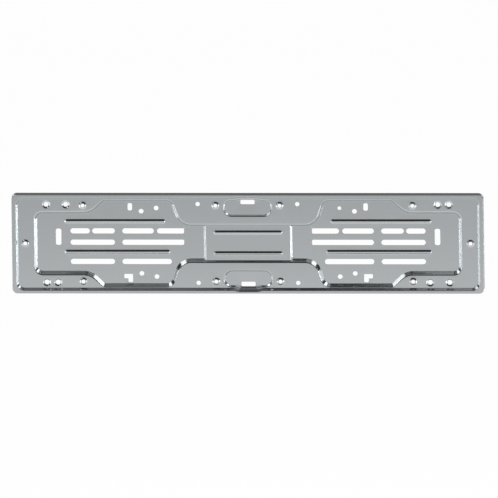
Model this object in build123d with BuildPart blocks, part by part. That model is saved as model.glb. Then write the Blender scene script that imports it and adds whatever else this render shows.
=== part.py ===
"""Number plate holder: a shallow tray pressed from one piece of stainless steel sheet.

X runs along the plate, Z is up and the front faces -Y.  The origin is the centre of the
middle row of slots, in the mounting plane where the backs of the two deep recesses lie.
All sizes are millimetres, every height is measured forwards from the mounting plane, and
every slope is the angle between a wall and the pressing direction.
"""

import os
from math import radians, tan

from build123d import *

# Sheet, outline of the tray and the levels of its pressed steps
sheet = 0.7
tray_w = 522.0
tray_h = 113.0
tray_corner = 5.8
rim_height = 9.2
base_height = 5.6
pocket_height = 3.8
panel_height = 3.1
floor_height = sheet
skirt_clear = 0.3

# Raised rim: a flat band, then a sloped wall down to the base, with a notch top and bottom
rim_band = 3.6
rim_end_band = 4.6
rim_slope = 30.0
rim_corner = 4.2
notch_half = 10.4
notch_step = 1.4
rim_x = tray_w / 2 - rim_end_band
rim_z = tray_h / 2 - rim_band
base_z = rim_z - (rim_height - base_height) * tan(radians(rim_slope))

# Shallow pockets above and below the centre panel
pocket_half = 26.9
pocket_length = 18.4
pocket_ledge = 1.64
pocket_slope = 30.0
pocket_corner = 7.6
pocket_end_corner = 4.0
pocket_notch_inset = 1.6
pocket_end = base_z - pocket_ledge
pocket_start = pocket_end - pocket_length
pocket_notch = notch_half - pocket_notch_inset

# Eyelets: raised ones on the ledges beside the recess, sunk ones near the corners
eyelet_sides = 12
eyelet_foot = 9.2
eyelet_rise = 1.0
eyelet_slope = 55.0
eyelet_hole = 4.3
eyelet_inset = 7.44
sink_mouth = 8.6
sink_depth = 0.9
sink_slope = 55.0
sink_hole = 5.3
sink_inset = 6.34
eyelet_z = base_z - eyelet_inset
sink_z = base_z - sink_inset

# Deep recess: end bay, wide bay and waist, as half sizes at base level
recess_slope = 31.0
end_ledge = 24.8
end_length = 61.8
end_clear = 8.7
end_corner = 5.2
shoulder_r = 11.5
bay_ledge = 1.84
bay_outer_r = 4.6
bay_inner_x = 83.1
bay_inner_r = 10.5
waist_run = 8.8
waist_clear = 9.3
waist_r = 15.5
end_x = tray_w / 2 - end_ledge
end_z = sink_z - end_clear
bay_z = base_z - bay_ledge
shoulder_x = end_x - end_length
bay_outer_x = shoulder_x - (bay_z - end_z)
bay_w = bay_outer_x - bay_inner_x
waist_x = bay_inner_x - waist_run
waist_z = pocket_start - waist_clear

# Centre panel, between the recess floor and the base
panel_half = 46.9
panel_slope = 37.0

# Slots for the fixing screws: the slots of each row and the bridges between them, as lengths
# that are stretched to fill the row
slot_w = 6.0
upright_inset = 26.6
upright_z = 6.3
upright_length = 18.6
upright_corner = 2.0
row_inset = 3.5
row_gap = 13.1
top_row_z = 13.0
top_slots = (30.0, 35.0, 25.1, 21.5)
top_bridges = (3.7, 8.3, 2.8)
mid_row_z = 0.0
mid_slots = (68.7, 49.3)
mid_bridges = (8.3,)
low_row_inset = 13.9
low_row_clear = 13.8
low_slots = (54.7, 49.0)
low_bridges = (8.3,)
upright_x = end_x - upright_inset
row_start = waist_x - row_inset
row_end = upright_x - row_gap
low_row_z = low_row_clear - end_z

# Stiffening beads, with bevelled ends
bead_w = 5.4
bead_tip = 1.6
bead_rise = 1.3
bead_slope = 38.0
top_bead_inset = 20.1
top_bead_clear = 11.7
low_bead_inset = 15.2
low_bead_z = -10.9
long_bead_over = 7.0
panel_bead_inset = 8.4
panel_bead_z = 11.9
top_bead_z = end_z - top_bead_clear
long_bead_end = row_end + long_bead_over

# Round holes and keys: places across the wide bay are shares of its width
bay_hole = 5.2
bay_hole_small = 4.1
bay_hole_share = 0.447
bay_hole_inset = 13.4
inner_hole_share = 0.234
inner_hole_inset = 9.8
key_w = 4.9
key_share = 0.606
key_top_length = 8.4
key_top_bevel = 0.6
key_top_inset = 8.4
key_low_length = 9.2
key_low_inset = 8.1
key_arm = 9.5
base_hole = 4.8
base_hole_gap = 28.2
base_hole_inset = 5.74
pocket_slot_l = 15.6
pocket_slot_w = 5.0
pocket_slot_inset = 2.4
key_x = bay_inner_x + key_share * bay_w
key_top_z = bay_z - key_top_inset
key_low_z = key_low_inset - bay_z
pocket_slot_z = pocket_end - pocket_slot_inset

# Places of the eyelets along the tray
eyelet_pocket_gap = 8.6
eyelet_end_gap = 53.8
eyelet_edge = 14.7
sink_end_gap = 13.4
sink_far_gap = 25.7
sink_near_gap = 35.0
sink_far = end_x - sink_far_gap
sink_near = end_x - sink_near_gap


def mirrored(x, z):
    """A place and its mirror images in the other three quarters of the tray."""
    return [(x, z), (-x, z), (-x, -z), (x, -z)]


eyelets = mirrored(end_x - eyelet_end_gap, eyelet_z)
eyelets += mirrored(pocket_half + eyelet_pocket_gap, eyelet_z)
eyelets += [(-tray_w / 2 + eyelet_edge, 0), (tray_w / 2 - eyelet_edge, 0)]
sinks = mirrored(end_x - sink_end_gap, sink_z)
sinks += [(-sink_near, sink_z), (sink_far, sink_z), (sink_near, -sink_z), (-sink_far, -sink_z)]
bay_holes = mirrored(bay_inner_x + bay_hole_share * bay_w, bay_z - bay_hole_inset)
inner_holes = mirrored(bay_inner_x + inner_hole_share * bay_w, bay_z - inner_hole_inset)
base_holes = mirrored(pocket_half + base_hole_gap, base_z - base_hole_inset)


def facing_back(height):
    """Sketch plane at a height, with its normal towards the back of the tray."""
    return Plane(origin=(0, -height, 0), x_dir=(-1, 0, 0), z_dir=(0, 1, 0))


def round_corners(sketch, corners, near=0.01):
    """Round the corners of an outline: (x, z, radius) for each, with all its mirror images."""
    for x, z, radius in corners:
        same = sketch.vertices().filter_by(
            lambda v: abs(abs(v.X) - x) < near and abs(abs(v.Y) - z) < near
        )
        fillet(same, radius)


def row_of_slots(start, lengths, bridges):
    """Centre and length of each slot in a row, stretched to fill it from its start."""
    stretch = (row_end - start - sum(bridges)) / sum(lengths)
    slots = []
    for length, bridge in zip(lengths, (*bridges, 0)):
        slots.append((start + length * stretch / 2, length * stretch))
        start += length * stretch + bridge
    return slots


def pressed(skin):
    """The pressed form as a solid block, with its front face set back by the given skin.

    Every sloped wall moves sideways by its own share of the skin, so two such blocks are
    one sheet thickness apart all over.
    """

    def shift(slope):
        return skin * tan(radians(90 - slope) / 2)

    # Hollow inside the rim
    with BuildPart() as rim_space:
        with BuildSketch(facing_back(rim_height - skin)):
            RectangleRounded(2 * rim_x, 2 * rim_z, rim_corner)
            for side, turn in ((1, 0), (-1, 180)):
                with Locations((0, side * rim_z)):
                    Trapezoid(2 * notch_half + 4 * notch_step, 2 * notch_step, 45, rotation=turn)
            offset(amount=shift(rim_slope), kind=Kind.INTERSECTION)
        extrude(amount=rim_height - base_height, taper=rim_slope)

    # One shallow pocket, the upper one
    with BuildPart() as pocket_space:
        with BuildSketch(facing_back(base_height - skin)) as pocket_outline:
            with BuildLine():
                Polyline(
                    (-pocket_half, pocket_start),
                    (pocket_half, pocket_start),
                    (pocket_half, pocket_end),
                    (pocket_notch + notch_step, pocket_end),
                    (pocket_notch, pocket_end + notch_step),
                    (-pocket_notch, pocket_end + notch_step),
                    (-pocket_notch - notch_step, pocket_end),
                    (-pocket_half, pocket_end),
                    close=True,
                )
            make_face()
            round_corners(pocket_outline, (
                (pocket_half, pocket_start, pocket_corner),
                (pocket_half, pocket_end, pocket_end_corner),
            ))
            offset(amount=shift(pocket_slope), kind=Kind.INTERSECTION)
        extrude(amount=base_height - pocket_height, taper=pocket_slope)

    # Deep recess, less the centre panel that stands up from its floor
    quarter = (
        (waist_x, waist_z, waist_r),
        (bay_inner_x, bay_z, bay_inner_r),
        (bay_outer_x, bay_z, bay_outer_r),
        (shoulder_x, end_z, shoulder_r),
        (end_x, end_z, end_corner),
    )
    right = [(x, z) for x, z, radius in quarter]
    right += [(x, -z) for x, z in reversed(right)]
    panel_top = panel_half - shift(panel_slope)
    panel_foot = panel_top + (panel_height - floor_height) * tan(radians(panel_slope))
    with BuildPart() as recess_space:
        with BuildSketch(facing_back(base_height - skin)) as recess_outline:
            with BuildLine():
                Polyline(*right, *[(-x, -z) for x, z in right], close=True)
            make_face()
            round_corners(recess_outline, quarter)
            offset(amount=shift(recess_slope), kind=Kind.INTERSECTION)
        extrude(amount=base_height - floor_height, taper=recess_slope)
        with BuildSketch(Plane.XY):
            with BuildLine():
                Polyline(
                    (-panel_foot, skin),
                    (-panel_foot, skin - floor_height),
                    (-panel_top, skin - panel_height),
                    (panel_top, skin - panel_height),
                    (panel_foot, skin - floor_height),
                    (panel_foot, skin),
                    close=True,
                )
            make_face()
        extrude(amount=tray_h, both=True, mode=Mode.SUBTRACT)

    # The block with its hollows, beads and eyelets
    beads = [
        (panel_height, 0, z, 2 * (panel_half - panel_bead_inset)) for z in (-panel_bead_z, panel_bead_z)
    ]
    for inset, z in ((top_bead_inset, top_bead_z), (low_bead_inset, low_bead_z)):
        length = long_bead_end - row_start - inset
        beads += [(floor_height, side * (long_bead_end - length / 2), z, length) for side in (-1, 1)]
    with BuildPart() as block:
        with BuildSketch(Plane.XZ):
            RectangleRounded(tray_w - 2 * skin, tray_h - 2 * skin, tray_corner - skin)
        extrude(amount=rim_height - skin)
        add(rim_space.part, mode=Mode.SUBTRACT)
        add(recess_space.part, mode=Mode.SUBTRACT)
        for turn in (0, 180):
            add(pocket_space.part, rotation=(0, turn, 0), mode=Mode.SUBTRACT)
        for height, x, z, length in beads:
            with BuildSketch(Plane.XZ.offset(height - skin)) as bead_foot:
                with Locations((x, z)):
                    Rectangle(length, bead_w)
                chamfer(bead_foot.vertices(), bead_tip)
                offset(amount=-shift(bead_slope), kind=Kind.INTERSECTION)
            extrude(amount=bead_rise, taper=bead_slope)
        with BuildSketch(Plane.XZ.offset(base_height - skin)):
            with Locations(*eyelets):
                RegularPolygon(eyelet_foot / 2 - shift(eyelet_slope), eyelet_sides)
        extrude(amount=eyelet_rise, taper=eyelet_slope)
        with BuildSketch(facing_back(base_height - skin)):
            with Locations(*[(-x, z) for x, z in sinks]):
                RegularPolygon(sink_mouth / 2 + shift(sink_slope), eyelet_sides)
        extrude(amount=sink_depth, taper=sink_slope, mode=Mode.SUBTRACT)
    return block.part


die = pressed(0)
punch = pressed(sheet)

# Outline of an upper key, upright with bevelled corners
with BuildSketch() as key_top:
    Rectangle(key_w, key_top_length)
    chamfer(key_top.vertices(), key_top_bevel)

# The tray: the sheet between the two forms, with its skirt trimmed and its holes punched
with BuildPart() as tray:
    add(die)
    add(punch, mode=Mode.SUBTRACT)
    with BuildSketch(Plane.XZ):
        Rectangle(tray_w, tray_h)
        Rectangle(2 * rim_x, 2 * rim_z, mode=Mode.SUBTRACT)
    extrude(amount=skirt_clear, mode=Mode.SUBTRACT)
    with BuildSketch(Plane.XZ):
        for side in (-1, 1):
            for z, start, lengths, bridges in (
                (top_row_z, row_start, top_slots, top_bridges),
                (mid_row_z, row_start, mid_slots, mid_bridges),
                (low_row_z, row_start + low_row_inset, low_slots, low_bridges),
            ):
                for x, length in row_of_slots(start, lengths, bridges):
                    with Locations((side * x, z)):
                        SlotOverall(length, slot_w)
            # The innermost slots of the top and middle rows have square inner ends
            for z in (top_row_z, mid_row_z):
                with Locations((side * (row_start + slot_w / 2), z)):
                    Rectangle(slot_w, slot_w)
            with Locations((side * upright_x, upright_z)):
                RectangleRounded(slot_w, upright_length, upright_corner)
            with Locations((side * key_x, key_top_z)):
                add(key_top.sketch)
            with Locations((side * key_x, key_low_z)):
                Rectangle(key_w, key_low_length)
            arm_x = key_x + (key_arm - key_w) / 2
            arm_z = key_low_z + (key_low_length - key_w) / 2
            with Locations((side * arm_x, arm_z)):
                Rectangle(key_arm, key_w)
        with Locations((0, pocket_slot_z), (0, -pocket_slot_z)):
            Rectangle(pocket_slot_l, pocket_slot_w)
        # One of the inner holes, at the upper right, is smaller than the rest
        with Locations(inner_holes[0]):
            Circle(bay_hole_small / 2)
        with Locations(*bay_holes, *inner_holes[1:]):
            Circle(bay_hole / 2)
        with Locations(*base_holes):
            Circle(base_hole / 2)
        with Locations(*eyelets):
            Circle(eyelet_hole / 2)
        with Locations(*sinks):
            Circle(sink_hole / 2)
    extrude(amount=rim_height, mode=Mode.SUBTRACT)

os.makedirs("parts", exist_ok=True)
tray.part.label = "tray"
export_step(tray.part, "parts/tray.step")
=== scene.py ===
from math import asin, ceil, cos, hypot, pi, radians, sin, tan

import bpy
import numpy as np
from mathutils import Matrix, Vector
from mathutils.geometry import delaunay_2d_cdt


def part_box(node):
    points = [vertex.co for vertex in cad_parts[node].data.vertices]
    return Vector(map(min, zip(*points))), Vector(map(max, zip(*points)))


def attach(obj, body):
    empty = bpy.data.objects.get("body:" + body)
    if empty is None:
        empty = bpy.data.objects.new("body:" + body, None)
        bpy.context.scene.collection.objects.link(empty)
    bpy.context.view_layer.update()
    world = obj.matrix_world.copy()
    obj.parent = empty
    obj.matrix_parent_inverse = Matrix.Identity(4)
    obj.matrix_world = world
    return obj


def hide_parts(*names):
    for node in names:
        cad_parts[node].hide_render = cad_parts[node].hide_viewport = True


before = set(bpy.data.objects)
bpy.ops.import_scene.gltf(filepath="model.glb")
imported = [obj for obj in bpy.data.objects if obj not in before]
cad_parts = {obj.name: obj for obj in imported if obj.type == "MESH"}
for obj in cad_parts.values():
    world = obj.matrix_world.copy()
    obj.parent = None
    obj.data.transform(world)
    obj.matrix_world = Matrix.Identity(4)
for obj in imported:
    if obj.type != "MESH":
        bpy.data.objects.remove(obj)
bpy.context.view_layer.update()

scene = bpy.context.scene

# Blank: the flat piece of bright stainless sheet that the whole tray is pressed from. Each bend
# is scribed on it as a row of lines, its slots and holes are punched, and every point carries
# its share of each step of the press. Sizes are millimetres, until the blank becomes a mesh.
mm = 0.001
low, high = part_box("tray")
half_w = high[0] / mm
half_h = high[2] / mm
rim_height = -low[1] / mm
sheet = 0.7
crest_r = 2.2
foot_r = 0.4
bend_lines = 5
arc_turn = radians(7.5)
straight_step = 24.0
tight_r = 0.12
no_turn = 1e-6

press_steps = (
    "rim", "skirt", "recess", "panel", "pocket", "bead", "eyelet", "sink", "roll", "strain",
)
blank = {"points": [], "edges": [], "cut": [], "fold": []}
blank.update({step: [] for step in press_steps})


def scribe(points, places=None, cut=False, closed=True, **shares):
    """Mark a line on the blank. Places are where its points go when the skirt is folded."""
    first = len(blank["points"])
    count = len(points)
    sides = count if closed else count - 1
    blank["points"] += points
    blank["edges"] += [(first + i, first + (i + 1) % count) for i in range(sides)]
    blank["cut"] += [first if cut else -1] * count
    for (x, z), (to_x, to_z) in zip(points, places or points):
        blank["fold"].append(((to_x - x) * mm, 0.0, (to_z - z) * mm))
    for step in press_steps:
        share = shares.get(step, 0.0)
        blank[step] += list(share) if np.ndim(share) else [float(share)] * count


def outline(corners, inset=0.0):
    """Points round a closed outline of (x, z, radius) corners, moved inwards by the inset.

    The number of points depends on the corners alone, so lines of one wall match.
    The inset may change along X, where the outline is straight.
    """
    sides = []
    for (x0, z0, _), (x1, z1, _) in zip(corners, corners[1:] + corners[:1]):
        length = hypot(x1 - x0, z1 - z0)
        sides.append(((x1 - x0) / length, (z1 - z0) / length))
    arcs = []
    for i, (x, z, r) in enumerate(corners):
        (ax, az), (bx, bz) = sides[i - 1], sides[i]
        turn = asin(max(-1.0, min(1.0, ax * bz - az * bx)))
        spread = 1 + ax * bx + az * bz
        depth = inset(x) if callable(inset) else inset
        cx = x - depth * (az + bz) / spread
        cz = z + depth * (ax + bx) / spread
        if abs(turn) < no_turn:
            arcs.append([(cx, cz)])
            continue
        side = 1 if turn > 0 else -1
        r = max(tight_r, r - side * depth)
        back = r * tan(abs(turn) / 2)
        sx, sz = side * az * r, -side * ax * r
        mx, mz = cx - ax * back - sx, cz - az * back - sz
        steps = max(2, ceil(abs(turn) / arc_turn))
        arc = []
        for k in range(steps + 1):
            angle = turn * k / steps
            arc.append((
                mx + sx * cos(angle) - sz * sin(angle),
                mz + sx * sin(angle) + sz * cos(angle),
            ))
        arcs.append(arc)
    points = []
    for i, arc in enumerate(arcs):
        points += arc
        following = (i + 1) % len(arcs)
        (x0, z0), (x1, z1) = arc[-1], arcs[following][0]
        (ax, az, _), (bx, bz, _) = corners[i], corners[following]
        parts = max(1, round(hypot(bx - ax, bz - az) / straight_step))
        for k in range(1, parts):
            points.append((x0 + (x1 - x0) * k / parts, z0 + (z1 - z0) * k / parts))
    return points


def rectangle(x, z, width, height, r):
    """Corners of a rounded rectangle, going round to the left."""
    a, b = width / 2, height / 2
    return [(x - a, z - b, r), (x + a, z - b, r), (x + a, z + b, r), (x - a, z + b, r)]


def bend(drop, slope, crest=crest_r, foot=foot_r):
    """Lines across a sloped wall, from its rounded crest to its rounded foot.

    Each is (inset, share of the drop, strain). The slope is the wall's angle to the
    pressing direction.
    """
    lean = radians(90 - slope)
    lines = []
    for k in range(bend_lines + 1):
        turn = lean * k / bend_lines
        inset = crest * (sin(turn) - tan(lean / 2))
        lines.append((inset, crest * (1 - cos(turn)) / drop, k / bend_lines))
    for k in range(bend_lines + 1):
        turn = lean * (1 - k / bend_lines)
        inset = drop / tan(lean) + foot * (tan(lean / 2) - sin(turn))
        lines.append((inset, 1 - foot * (1 - cos(turn)) / drop, 1 - k / bend_lines))
    return lines


# Rim and skirt: a flat band all round the front that the number plate rests on. It is folded
# back to a skirt at the outside, and slopes down to the base at the inside. A shallow notch
# widens the hollow at the middle of the top and of the bottom.
base_height = 5.6
skirt_clear = 0.3
skirt_depth = rim_height - skirt_clear
tray_corner = 5.8
rim_band = 3.6
rim_end_band = 4.6
rim_slope = 30.0
rim_corner = 9.0
rim_crest_r = 0.9
skirt_bend_r = 0.45
skirt_lines = (0.5, 1.0)
notch_half = 10.4
notch_step = 1.4
notch_run = 5.5
notch_outer_r = 3.1
notch_inner_r = 3.1
rim_x = half_w - rim_end_band
rim_z = half_h - rim_band
base_z = rim_z - (rim_height - base_height) * tan(radians(rim_slope))

edge = rectangle(0, 0, 2 * half_w, 2 * half_h, tray_corner)
for k in range(bend_lines + 1):
    turn = pi / 2 * k / bend_lines
    scribe(
        outline(edge, skirt_bend_r * (1 - turn)),
        outline(edge, skirt_bend_r * (1 - sin(turn))),
        rim=1.0,
        skirt=skirt_bend_r * (1 - cos(turn)) / skirt_depth,
        strain=sin(2 * turn),
    )
for share in skirt_lines:
    fall = skirt_bend_r + share * (skirt_depth - skirt_bend_r)
    unfolded = outline(edge, skirt_bend_r * (2 - pi / 2) - fall)
    scribe(unfolded, outline(edge), rim=1.0, skirt=fall / skirt_depth)


def notched(z, half):
    """Corners along one long edge, with a step outwards in its middle."""
    return [
        (half + notch_run, z, notch_inner_r), (half, z + notch_step, notch_outer_r),
        (-half, z + notch_step, notch_outer_r), (-half - notch_run, z, notch_inner_r),
    ]


rim_edge = [(rim_x, rim_z, rim_corner)]
rim_edge += notched(rim_z, notch_half)
rim_edge += [(-rim_x, rim_z, rim_corner)]
rim_edge += [(-x, -z, r) for x, z, r in rim_edge]
for inset, share, strain in bend(rim_height - base_height, rim_slope, crest=rim_crest_r):
    scribe(outline(rim_edge, inset), rim=1 - share, strain=strain)

# Shallow pockets: one above and one below the centre, drawn a little back from the base, for the
# clips that hold the edge of the plate. Each follows the rim's notch with one of its own.
pocket_depth = 1.8
pocket_slope = 42.0
pocket_half = 26.9
pocket_length = 19.19
pocket_ledge = 0.85
pocket_corner = 9.5
pocket_end_corner = 8.5
pocket_crest_r = 1.3
pocket_foot_r = 0.3
pocket_notch_inset = 1.6
pocket_notch = notch_half - pocket_notch_inset
pocket_end = base_z - pocket_ledge
pocket_start = pocket_end - pocket_length

pocket_edge = [
    (-pocket_half, pocket_start, pocket_corner), (pocket_half, pocket_start, pocket_corner),
    (pocket_half, pocket_end, pocket_end_corner),
]
pocket_edge += notched(pocket_end, pocket_notch)
pocket_edge += [(-pocket_half, pocket_end, pocket_end_corner)]
for inset, share, strain in bend(pocket_depth, pocket_slope, pocket_crest_r, pocket_foot_r):
    line = outline(pocket_edge, inset)
    scribe(line, pocket=share, strain=strain)
    scribe([(-x, -z) for x, z in line], pocket=share, strain=strain)

# Deep recess: the middle of the sheet, drawn back to the mounting plane, with a narrow waist and
# a wide bay at each side of it. A raised panel crosses the waist, with a ramp down at each end.
recess_slope = 31.0
end_ledge = 24.8
end_length = 61.8
sink_inset = 6.34
end_clear = 8.7
end_corner = 9.0
shoulder_r = 20.0
bay_ledge = 0.85
bay_crest_r = 0.9
bay_crest_span = (77.7, 80.8, 162.4, 168.5)
bay_outer_r = 4.6
bay_inner_x = 83.1
bay_inner_r = 10.5
waist_run = 8.8
waist_clear = 9.3
waist_r = 15.5
sink_z = base_z - sink_inset
end_x = half_w - end_ledge
end_z = sink_z - end_clear
bay_z = base_z - bay_ledge
shoulder_x = end_x - end_length
bay_outer_x = shoulder_x - (bay_z - end_z)
waist_x = bay_inner_x - waist_run
waist_z = pocket_start - waist_clear
back_clear = 0.003
recess_depth = base_height - sheet - back_clear
panel_rise = 2.4
panel_half = 46.9
panel_slope = 37.0
ramp_foot_r = 1.5
ramp_clear = 0.6
ramp_points = 5

ramp = bend(panel_rise, panel_slope, foot=ramp_foot_r)
stations = [panel_half + inset for inset, _, _ in ramp]


def panel_share(x):
    """How far the centre panel lifts the recess at a place along the tray."""
    return 1 - float(np.interp(abs(x), stations, [share for _, share, _ in ramp]))


def wall_line(number, x):
    """One line across the recess wall, at the depth and with the crest that it has at x."""
    crest = float(np.interp(abs(x), bay_crest_span, (crest_r, bay_crest_r, bay_crest_r, crest_r)))
    return bend(recess_depth - panel_rise * panel_share(x), recess_slope, crest)[number]


upper = [
    (end_x, end_z, end_corner), (shoulder_x, end_z, shoulder_r),
    (bay_outer_x, bay_z, bay_outer_r), (bay_inner_x, bay_z, bay_inner_r),
    (waist_x, waist_z, waist_r),
]
upper += [(x, waist_z, 0.0) for x in reversed(stations)]
upper += [(-x, z, r) for x, z, r in reversed(upper)]
recess_edge = upper + [(-x, -z, r) for x, z, r in upper]
for number in range(2 * bend_lines + 2):
    line = outline(recess_edge, lambda x: wall_line(number, x)[0])
    share = [wall_line(number, x)[1] for x, z in line]
    lift = [panel_share(x) * part for (x, z), part in zip(line, share)]
    scribe(line, recess=share, panel=lift, strain=wall_line(number, 0)[2])
for x, (_, share, strain) in zip(stations, ramp):
    reach = waist_z - wall_line(-1, x)[0] - ramp_clear
    for side in (-1, 1):
        line = [(side * x, z) for z in np.linspace(-reach, reach, ramp_points)]
        scribe(line, closed=False, recess=1.0, panel=1 - share, strain=strain)

# Beads: long soft ridges pressed forwards out of the flats to stiffen them. Two run along each
# half of the recess, between its rows of slots, and two along the centre panel.
bead_w = 5.4
bead_flank = 2.55
bead_rise = 1.15
bead_lines = 8
upright_inset = 26.6
row_inset = 3.5
row_gap = 13.1
top_bead_inset = 20.1
top_bead_clear = 11.7
low_bead_inset = 15.2
low_bead_z = -10.9
long_bead_over = 7.0
panel_bead_inset = 8.4
panel_bead_z = 11.9
upright_x = end_x - upright_inset
row_start = waist_x - row_inset
row_end = upright_x - row_gap
bead_end = row_end + long_bead_over


def swell(share):
    """Height of a soft swelling, from its foot at 0 to its crown at 1."""
    return 0.5 - 0.5 * cos(pi * share)


beads = [(0.0, z, 2 * (panel_half - panel_bead_inset), 1.0) for z in (-panel_bead_z, panel_bead_z)]
for inset, z in ((top_bead_inset, end_z - top_bead_clear), (low_bead_inset, low_bead_z)):
    start = row_start + inset
    beads += [(side * (start + bead_end) / 2, z, bead_end - start, 0.0) for side in (-1, 1)]
for x, z, length, lift in beads:
    for k in range(bead_lines + 1):
        share = k / bead_lines
        line = outline(rectangle(x, z, length, bead_w, bead_w / 2), bead_flank * share)
        scribe(line, recess=1.0, panel=lift, bead=swell(share), strain=sin(pi * share))

# Eyelets and sinks: soft rings pressed round the small screw holes in the base. Eyelets stand
# forwards and carry the plate, and sinks go back and take the head of a countersunk screw.
eyelet_foot = 4.6
eyelet_crown = 2.5
eyelet_hole = 2.15
eyelet_rise = 1.0
eyelet_inset = 7.44
eyelet_pocket_gap = 8.6
eyelet_end_gap = 53.8
eyelet_edge = 14.7
sink_mouth = 4.7
sink_bottom = 2.95
sink_hole = 2.65
sink_depth = 0.85
sink_end_gap = 13.4
sink_far_gap = 25.7
sink_near_gap = 35.0
sink_far = end_x - sink_far_gap
sink_near = end_x - sink_near_gap
ring_lines = 7
ring_points = 36
ring_roll = 0.5


def ring(x, z, r):
    """Points of a circle, going round to the left."""
    turns = [2 * pi * k / ring_points for k in range(ring_points)]
    return [(x + r * cos(turn), z + r * sin(turn)) for turn in turns]


def mirrored(x, z):
    """A place and its mirror images in the other three quarters of the tray."""
    return [(x, z), (-x, z), (-x, -z), (x, -z)]


eyelet_z = base_z - eyelet_inset
eyelets = mirrored(end_x - eyelet_end_gap, eyelet_z)
eyelets += mirrored(pocket_half + eyelet_pocket_gap, eyelet_z)
eyelets += [(eyelet_edge - half_w, 0.0), (half_w - eyelet_edge, 0.0)]
sinks = mirrored(end_x - sink_end_gap, sink_z)
sinks += [(-sink_near, sink_z), (sink_far, sink_z), (sink_near, -sink_z), (-sink_far, -sink_z)]
for step, places, outer, inner, hole in (
    ("eyelet", eyelets, eyelet_foot, eyelet_crown, eyelet_hole),
    ("sink", sinks, sink_mouth, sink_bottom, sink_hole),
):
    for x, z in places:
        for k in range(ring_lines + 1):
            share = k / ring_lines
            circle = ring(x, z, outer + (inner - outer) * share)
            scribe(circle, **{step: swell(share), "strain": sin(pi * share)})
        scribe(ring(x, z, hole), cut=True, roll=ring_roll, **{step: 1.0})

# Slots, keys and plain holes: punched through the flats from the front, so their front edges
# are drawn in a little. The slots and the round holes take the fixing screws, the keys locate
# clips, and the slot in each pocket lets a clip through.
slot_w = 6.0
slot_end_flat = 0.01
slot_r = slot_w / 2 - slot_end_flat
square_end_r = 1.4
top_row_z = 13.0
top_slots = (30.0, 35.0, 25.1, 21.5)
top_bridges = (3.7, 8.3, 2.8)
mid_row_z = 0.0
mid_slots = (68.7, 49.3)
mid_bridges = (8.3,)
low_row_inset = 13.9
low_row_clear = 13.8
low_row_z = low_row_clear - end_z
low_slots = (54.7, 49.0)
low_bridges = (8.3,)
upright_z = 6.3
upright_length = 18.6
upright_corner = 2.0
key_w = 4.9
key_x = 130.43
key_top_inset = 10.24
key_top_z = base_z - key_top_inset
key_top_length = 8.4
key_top_corner = 1.9
key_low_inset = 9.94
key_low_z = key_low_inset - base_z
key_low_length = 9.2
key_low_corner = 0.9
key_inner_corner = 0.5
key_arm = 9.5
key_arm_drop = 0.3
clip_slot_l = 15.6
clip_slot_w = 5.0
clip_slot_corner = 1.2
clip_slot_inset = 3.19
clip_slot_z = pocket_end - clip_slot_inset
bay_hole_x = 118.01
bay_hole_inset = 15.24
inner_hole_x = 101.38
inner_hole_inset = 11.64
base_hole_gap = 28.2
base_hole_inset = 5.74
bay_hole_r = 2.6
small_hole_r = 2.05
base_hole_r = 2.4
roll_depth = 0.05
roll_lines = ((-0.09, 0.0), (-0.03, 0.35), (0.0, 1.0))


def punch(corners, roll=roll_lines, **shares):
    """A hole of any outline, with its rolled edge."""
    for inset, drawn in roll:
        scribe(outline(corners, inset), cut=inset == 0.0, roll=drawn, **shares)


def slot_row(start, lengths, bridges):
    """Centre and length of each slot in a row, stretched to fill it."""
    stretch = (row_end - start - sum(bridges)) / sum(lengths)
    for length, bridge in zip(lengths, (*bridges, 0.0)):
        yield start + length * stretch / 2, length * stretch
        start += length * stretch + bridge


def at_side(corners, side):
    """The corners as they are, or their mirror image at the other end of the tray."""
    return corners if side > 0 else [(-x, z, r) for x, z, r in reversed(corners)]


rows = (
    (top_row_z, row_start, square_end_r, top_slots, top_bridges),
    (mid_row_z, row_start, square_end_r, mid_slots, mid_bridges),
    (low_row_z, row_start + low_row_inset, slot_r, low_slots, low_bridges),
)
upright_slot = rectangle(upright_x, upright_z, slot_w, upright_length, upright_corner)
upper_key = rectangle(key_x, key_top_z, key_w, key_top_length, key_top_corner)
key_left = key_x - key_w / 2
key_right = key_x + key_w / 2
key_far = key_left + key_arm
key_bottom = key_low_z - key_low_length / 2
key_step = key_low_z - key_arm_drop
key_top = key_low_z + key_low_length / 2
lower_key = [
    (key_left, key_bottom, key_low_corner), (key_right, key_bottom, key_low_corner),
    (key_right, key_step, key_inner_corner), (key_far, key_step, key_low_corner),
    (key_far, key_top, key_low_corner), (key_left, key_top, key_low_corner),
]
for side in (-1, 1):
    for z, start, first_r, lengths, bridges in rows:
        for number, (x, length) in enumerate(slot_row(start, lengths, bridges)):
            inner_r = slot_r if number else first_r
            slot = rectangle(x, z, length, slot_w, slot_r)
            slot = [(a, b, r if a > x else inner_r) for a, b, r in slot]
            punch(at_side(slot, side), recess=1.0)
    for corners in (upright_slot, upper_key, lower_key):
        punch(at_side(corners, side), recess=1.0)
for z in (clip_slot_z, -clip_slot_z):
    clip_slot = rectangle(0.0, z, clip_slot_l, clip_slot_w, clip_slot_corner)
    punch(clip_slot, roll=roll_lines[-1:], pocket=1.0)
holes = [(x, z, bay_hole_r, 1.0) for x, z in mirrored(bay_hole_x, base_z - bay_hole_inset)]
for x, z in mirrored(inner_hole_x, base_z - inner_hole_inset):
    holes.append((x, z, small_hole_r if x > 0 and z > 0 else bay_hole_r, 1.0))
for x, z in mirrored(pocket_half + base_hole_gap, base_z - base_hole_inset):
    holes.append((x, z, base_hole_r, 0.0))
for x, z, radius, depth in holes:
    for inset, drawn in roll_lines:
        scribe(ring(x, z, radius - inset), cut=inset == 0.0, roll=drawn, recess=depth)


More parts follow.
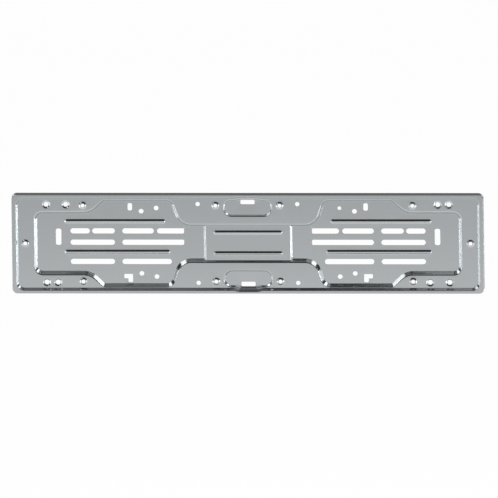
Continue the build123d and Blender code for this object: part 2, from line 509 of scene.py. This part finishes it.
# Steel: bright rolled stainless. The grain of the mill's rolls runs along the tray, the drawn
# bends are a little duller than the flats, and handling has left faint smudges and scuffs.
class Field:
    """A value in a node tree. Arithmetic on it adds Math nodes."""

    def __init__(self, tree, socket=None):
        self.tree = tree
        self.socket = socket

    def node(self, kind, inputs=None, out=0, **settings):
        """Add any node, with its settings and its inputs, and give one of its outputs."""
        made = self.tree.nodes.new(kind)
        for name, value in settings.items():
            setattr(made, name, value)
        for name, value in (inputs or {}).items():
            if isinstance(value, Field):
                self.tree.links.new(value.socket, made.inputs[name])
            else:
                made.inputs[name].default_value = value
        return Field(self.tree, made.outputs[out] if made.outputs else None)

    def output(self, name):
        """Another output of the node that gives this value."""
        return Field(self.tree, self.socket.node.outputs[name])

    def math(self, operation, first, second):
        return self.node("ShaderNodeMath", {0: first, 1: second}, operation=operation)

    def __add__(self, other):
        return self.math("ADD", self, other)

    def __radd__(self, other):
        return self.math("ADD", other, self)

    def __sub__(self, other):
        return self.math("SUBTRACT", self, other)

    def __rsub__(self, other):
        return self.math("SUBTRACT", other, self)

    def __mul__(self, other):
        return self.math("MULTIPLY", self, other)

    def __rmul__(self, other):
        return self.math("MULTIPLY", other, self)


def new_material(name):
    """An empty material and a field to build its nodes from."""
    material = bpy.data.materials.new(name)
    material.use_nodes = True
    material.node_tree.nodes.clear()
    return material, Field(material.node_tree)


bright_steel = (0.525, 0.55, 0.562, 1.0)
dull_steel = (0.26, 0.272, 0.28, 1.0)
grain_scale = (14.0, 900.0, 900.0)
grain_noise = {"Scale": 1.0, "Detail": 4.0, "Roughness": 0.6}
smudge_noise = {"Scale": 22.0, "Detail": 5.0, "Roughness": 0.62}
wave_noise = {"Scale": 9.0, "Detail": 1.0, "Roughness": 0.4}
scuff_scale = (28.0, 300.0, 1300.0)
scuff_noise = {"Scale": 1.0, "Detail": 1.0}
scuff_lean = radians(24)
scuff_from, scuff_to = 0.66, 0.74
clean_rough = 0.08
grain_rough = 0.06
smudge_rough = 0.07
strain_rough = 0.02
scuff_rough = 0.08
clean_tone = 0.94
grain_tone = 0.05
smudge_tone = 0.05
grain_relief = 0.25
wave_relief = 30.0
relief_strength = 0.35
relief_depth = 0.00002

steel, field = new_material("rolled_stainless")
place = field.node("ShaderNodeTexCoord", out="Object")
grain_place = field.node("ShaderNodeMapping", {"Vector": place, "Scale": grain_scale})
grain = field.node("ShaderNodeTexNoise", {"Vector": grain_place, **grain_noise})
smudge = field.node("ShaderNodeTexNoise", {"Vector": place, **smudge_noise})
wave = field.node("ShaderNodeTexNoise", {"Vector": place, **wave_noise})
leaning = field.node("ShaderNodeMapping", {"Vector": place, "Rotation": (0.0, scuff_lean, 0.0)})
scuff_place = field.node("ShaderNodeMapping", {"Vector": leaning, "Scale": scuff_scale})
scuff = field.node("ShaderNodeTexNoise", {"Vector": scuff_place, **scuff_noise})
scuff = field.node("ShaderNodeMapRange", {
    "Value": scuff, "From Min": scuff_from, "From Max": scuff_to,
})
strain = field.node("ShaderNodeAttribute", out="Fac", attribute_name="strain")
rough = clean_rough + grain_rough * grain + smudge_rough * smudge
rough = rough + strain_rough * strain + scuff_rough * scuff
tone = clean_tone + grain_tone * grain + smudge_tone * smudge
colour = field.node("ShaderNodeMix", {
    "Factor": tone, 6: dull_steel, 7: bright_steel,
}, out=2, data_type="RGBA")
relief = grain_relief * grain + wave_relief * wave
bump = field.node("ShaderNodeBump", {
    "Height": relief, "Strength": relief_strength, "Distance": relief_depth,
})
surface = field.node("ShaderNodeBsdfPrincipled", {
    "Base Color": colour, "Roughness": rough, "Metallic": 1.0, "Normal": bump,
})
field.node("ShaderNodeOutputMaterial", {"Surface": surface})

# Pressing: one stroke moves every point of the blank by its share of each step and folds the
# skirt, as the tool does to the sheet. The sheet then gets its thickness behind the front face,
# and its sheared edges lose their sharpness.
strokes = {
    "rim": rim_height - base_height,
    "skirt": -skirt_depth,
    "recess": -recess_depth,
    "panel": panel_rise,
    "pocket": -pocket_depth,
    "bead": bead_rise,
    "eyelet": eyelet_rise,
    "sink": -sink_depth,
    "roll": -roll_depth,
}
scribe_gap = 1e-6
burr_w = 0.05
sharp_turn = radians(40)
burr_turn = radians(60)

points, _, triangles, sources, _, _ = delaunay_2d_cdt(
    [Vector(point) for point in blank["points"]], blank["edges"], [], 0, scribe_gap
)
source = [found[0] for found in sources]
cut = [blank["cut"][i] for i in source]
kept = [t for t in triangles if not (cut[t[0]] >= 0 and cut[t[0]] == cut[t[1]] == cut[t[2]])]
mesh = bpy.data.meshes.new("tray_blank")
mesh.from_pydata([(x * mm, 0.0, z * mm) for x, z in points], [], kept)
for step in press_steps:
    shares = mesh.attributes.new(step, "FLOAT", "POINT")
    shares.data.foreach_set("value", [blank[step][i] for i in source])
fold = mesh.attributes.new("fold", "FLOAT_VECTOR", "POINT")
fold.data.foreach_set("vector", [value for i in source for value in blank["fold"][i]])
tray = bpy.data.objects.new("tray_sheet", mesh)
scene.collection.objects.link(tray)

press = bpy.data.node_groups.new("press_tray", "GeometryNodeTree")
press.is_modifier = True
stroke_names = {step: f"{step.title()} Stroke" for step in strokes}
kinds = {"Blank": "Geometry", "Base Height": "Float"}
kinds.update({name: "Float" for name in stroke_names.values()})
kinds["Steel"] = "Material"
sockets = {}
for name, kind in kinds.items():
    sockets[name] = press.interface.new_socket(
        name, in_out="INPUT", socket_type=f"NodeSocket{kind}"
    )
press.interface.new_socket("Tray", in_out="OUTPUT", socket_type="NodeSocketGeometry")
given = Field(press).node("NodeGroupInput", out="Blank")


def carried(name, kind):
    """What every point of the blank carries under a name."""
    return given.node(
        "GeometryNodeInputNamedAttribute", {"Name": name}, out="Attribute", data_type=kind
    )


height = given.output("Base Height")
for step, name in stroke_names.items():
    height = height + carried(step, "FLOAT") * given.output(name)
folded = carried("fold", "FLOAT_VECTOR")
lifted = given.node("ShaderNodeCombineXYZ", {"Y": 0.0 - height})
moved = given.node("ShaderNodeVectorMath", {0: folded, 1: lifted}, operation="ADD")
pressed = given.node("GeometryNodeSetPosition", {"Geometry": given, "Offset": moved})
pressed = given.node("GeometryNodeRealizeInstances", {"Geometry": pressed})
pressed = given.node("GeometryNodeSetMaterial", {
    "Geometry": pressed, "Material": given.output("Steel"),
})
given.node("NodeGroupOutput", {"Tray": pressed})

stamp = tray.modifiers.new("press", "NODES")
stamp.node_group = press
stamp[sockets["Base Height"].identifier] = base_height * mm
for step, stroke in strokes.items():
    stamp[sockets[stroke_names[step]].identifier] = stroke * mm
stamp[sockets["Steel"].identifier] = steel
wall = tray.modifiers.new("sheet", "SOLIDIFY")
wall.thickness = sheet * mm
wall.offset = -1.0
wall.use_even_offset = True
wall.use_quality_normals = True


def settle(piece, name):
    """Turn a piece's modifiers into plain mesh."""
    depsgraph = bpy.context.evaluated_depsgraph_get()
    finished = bpy.data.meshes.new_from_object(piece.evaluated_get(depsgraph))
    finished.name = name
    piece.modifiers.clear()
    piece.data = finished


settle(tray, "tray_pressed")
tray.data.shade_smooth()
tray.data.set_sharp_from_angle(angle=sharp_turn)
burr = tray.modifiers.new("burr", "BEVEL")
burr.width = burr_w * mm
burr.segments = 1
burr.limit_method = "ANGLE"
burr.angle_limit = burr_turn
even = tray.modifiers.new("even", "WEIGHTED_NORMAL")
even.keep_sharp = True
settle(tray, "tray_sheet")
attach(tray, "root")
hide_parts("tray")

# Studio: a white table, two low strip lights and a high one at each side, and two dim panels
# overhead with a gap between them. The table is white to the eye. In the steel it fades with
# distance and behind the tray, and the room is dark above a pale horizon.
table_z = -0.45
table_half = 6.0
table_white = (0.9, 0.9, 0.9, 1.0)
near_glow, far_glow, behind_share = 1.0, 0.56, 0.5
fade_from, fade_to = 0.9, 2.4
behind_from, behind_to = 0.0, 0.6
eye_share = 0.85
front_glow, back_glow, horizon_glow = 0.03, 0.17, 0.75
front_way, back_way = -0.5, 0.9
horizon_from, horizon_to = 0.02, 0.22
strip_x = 0.62
panel_y = (-0.33, 0.10)
panel_z = 1.0
# Each strip: name, brightness, side, reach along Y and reach along Z
strips = (
    ("left_front_strip", 4.5, -1, (-0.555, -0.475), (-0.44, 0.03)),
    ("left_near_strip", 2.6, -1, (-0.205, -0.13), (-0.44, 0.03)),
    ("right_front_strip", 6.8, 1, (-0.435, -0.36), (-0.31, 0.03)),
    ("right_near_strip", 3.6, 1, (-0.185, -0.09), (-0.44, 0.03)),
    ("left_high_strip", 2.9, -1, (-0.50, 0.0), (0.36, 1.0)),
    ("right_high_strip", 4.2, 1, (-0.38, -0.14), (0.36, 0.9)),
)
# Each panel: name, brightness and reach along X
panels = (("left_panel", 0.32, (-0.60, -0.09)), ("right_panel", 0.62, (0.115, 0.60)))

table = bpy.data.objects.new("table", bpy.data.meshes.new("table"))
corners = [
    (x * table_half, y * table_half, table_z) for x, y in ((-1, -1), (1, -1), (1, 1), (-1, 1))
]
table.data.from_pydata(corners, [], [(0, 1, 2, 3)])
scene.collection.objects.link(table)
white, field = new_material("white_table")
eye_ray = field.node("ShaderNodeLightPath", out="Is Camera Ray")
steel_ray = eye_ray.output("Is Glossy Ray")
spot = field.node("ShaderNodeNewGeometry", out="Position")
away = field.node("ShaderNodeVectorMath", {0: spot}, out="Value", operation="LENGTH")
fade = field.node("ShaderNodeMapRange", {
    "Value": away, "From Min": fade_from, "From Max": fade_to,
    "To Min": near_glow, "To Max": far_glow,
}, interpolation_type="SMOOTHSTEP")
back = field.node("ShaderNodeSeparateXYZ", {"Vector": spot}, out="Y")
behind = field.node("ShaderNodeMapRange", {
    "Value": back, "From Min": behind_from, "From Max": behind_to,
    "To Min": 1.0, "To Max": behind_share,
})
glow = field.node("ShaderNodeMix", {
    "Factor": steel_ray, "A": 1.0, "B": fade * behind,
}, data_type="FLOAT")
lit = field.node("ShaderNodeEmission", {"Color": glow, "Strength": 1.0})
matt = field.node("ShaderNodeBsdfDiffuse", {"Color": table_white})
seen = steel_ray + eye_ray.output("Is Transmission Ray") + eye_share * eye_ray
shown = field.node("ShaderNodeMixShader", {0: seen, 1: matt, 2: lit})
field.node("ShaderNodeOutputMaterial", {"Surface": shown})
table.data.materials.append(white)

world = bpy.data.worlds.new("studio")
world.use_nodes = True
world.node_tree.nodes.clear()
scene.world = world
field = Field(world.node_tree)
steel_ray = field.node("ShaderNodeLightPath", out="Is Glossy Ray")
way = field.node("ShaderNodeTexCoord", out="Generated")
back = field.node("ShaderNodeSeparateXYZ", {"Vector": way}, out="Y")
overhead = field.node("ShaderNodeMapRange", {
    "Value": back, "From Min": front_way, "From Max": back_way,
    "To Min": front_glow, "To Max": back_glow,
})
around = field.node("ShaderNodeMapRange", {
    "Value": back.output("Z"), "From Min": horizon_from, "From Max": horizon_to,
    "To Min": horizon_glow, "To Max": overhead,
}, interpolation_type="SMOOTHSTEP")
glow = field.node("ShaderNodeMix", {
    "Factor": steel_ray, "A": 1.0, "B": around,
}, data_type="FLOAT")
sky = field.node("ShaderNodeBackground", {"Color": glow, "Strength": 1.0})
field.node("ShaderNodeOutputWorld", {"Surface": sky})


def soft_box(name, brightness, near, far, facing):
    """A soft box that fills the rectangle between two corners, unseen by the camera."""
    near, far = Vector(near), Vector(far)
    across, along = [abs(reach) for reach, turned in zip(far - near, facing) if not turned]
    lamp = bpy.data.lights.new(name, "AREA")
    lamp.shape = "RECTANGLE"
    lamp.size, lamp.size_y = across, along
    lamp.energy = brightness * pi * across * along
    box = bpy.data.objects.new(name, lamp)
    box.location = (near + far) / 2
    box.rotation_euler = Vector(facing).to_track_quat("-Z", "Y").to_euler()
    box.visible_camera = False
    scene.collection.objects.link(box)


for name, brightness, side, (front, rear), (foot, top) in strips:
    x = side * strip_x
    soft_box(name, brightness, (x, front, foot), (x, rear, top), (-side, 0, 0))
for name, brightness, (left, right) in panels:
    front, rear = panel_y
    soft_box(name, brightness, (left, front, panel_z), (right, rear, panel_z), (0, 0, -1))

# Camera: looks down on the front from a little to the right, without perspective. The middle
# of the tray's back lands on the same spot of the picture as in the photograph.
picture_px = 498
origin_px = (248.2, 242.19)
view_w = 0.5503
azimuth = radians(3.085)
elevation = radians(15.073)
roll = radians(0.758)
stand_off = 2.5
sight = 20.0

camera = bpy.data.cameras.new("camera")
camera.type = "ORTHO"
camera.ortho_scale = view_w
camera.clip_end = sight
eye = bpy.data.objects.new("camera", camera)
scene.collection.objects.link(eye)
look = Vector((-sin(azimuth) * cos(elevation), cos(azimuth) * cos(elevation), -sin(elevation)))
level = Vector((cos(azimuth), sin(azimuth), 0.0))
upright = level.cross(look)
across = level * cos(roll) - upright * sin(roll)
up = upright * cos(roll) + level * sin(roll)
pixel = view_w / picture_px
aim = across * ((picture_px / 2 - origin_px[0]) * pixel)
aim = aim + up * ((origin_px[1] - picture_px / 2) * pixel)
facing = Matrix((across, up, -look)).transposed().to_4x4()
eye.matrix_world = Matrix.Translation(aim - look * stand_off) @ facing
scene.camera = eye
scene.view_settings.view_transform = "Standard"
